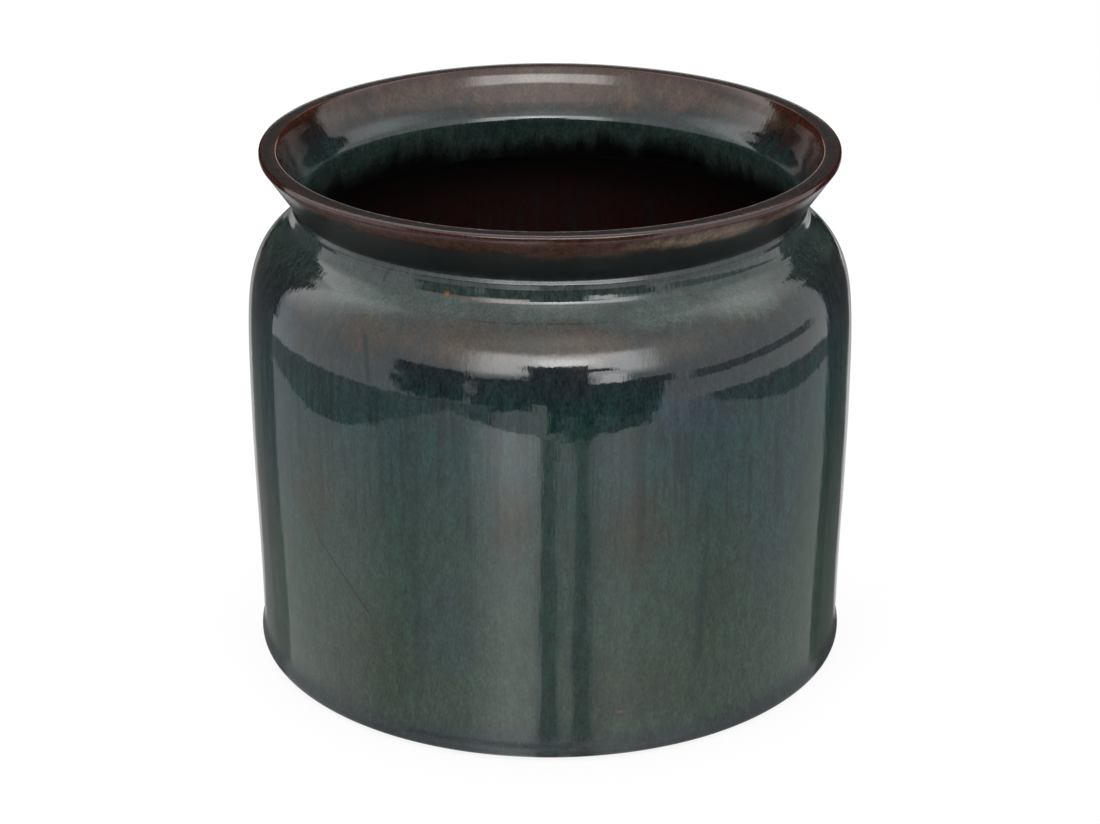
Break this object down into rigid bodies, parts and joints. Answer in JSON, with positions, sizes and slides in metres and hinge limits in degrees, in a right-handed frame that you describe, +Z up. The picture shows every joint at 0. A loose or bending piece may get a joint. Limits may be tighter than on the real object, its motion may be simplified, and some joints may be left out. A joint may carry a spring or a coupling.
{
  "type": "planter pot",
  "caption": "Round jar-shaped glazed stoneware planter with a wide shouldered body, a short grooved neck and a flared flat-topped rim.",
  "frame": {"origin": "on the pot's axis, on the surface that its pads stand on", "axes": "+Z up along the pot's axis; the side seen in the picture faces -Y"},
  "size_m": [0.2508, 0.2508, 0.2164],
  "materials": {
    "glazed_stoneware": "glossy dark teal-green reactive glaze that breaks to iron brown on the rim and edges",
    "pad_felt": "pressed brown-grey wool felt"
  },
  "bodies": {
    "root": {"pot_body": "glazed_stoneware", "felt_pad_1": "pad_felt", "felt_pad_2": "pad_felt", "felt_pad_3": "pad_felt", "felt_pad_4": "pad_felt"}
  },
  "joints": []
}
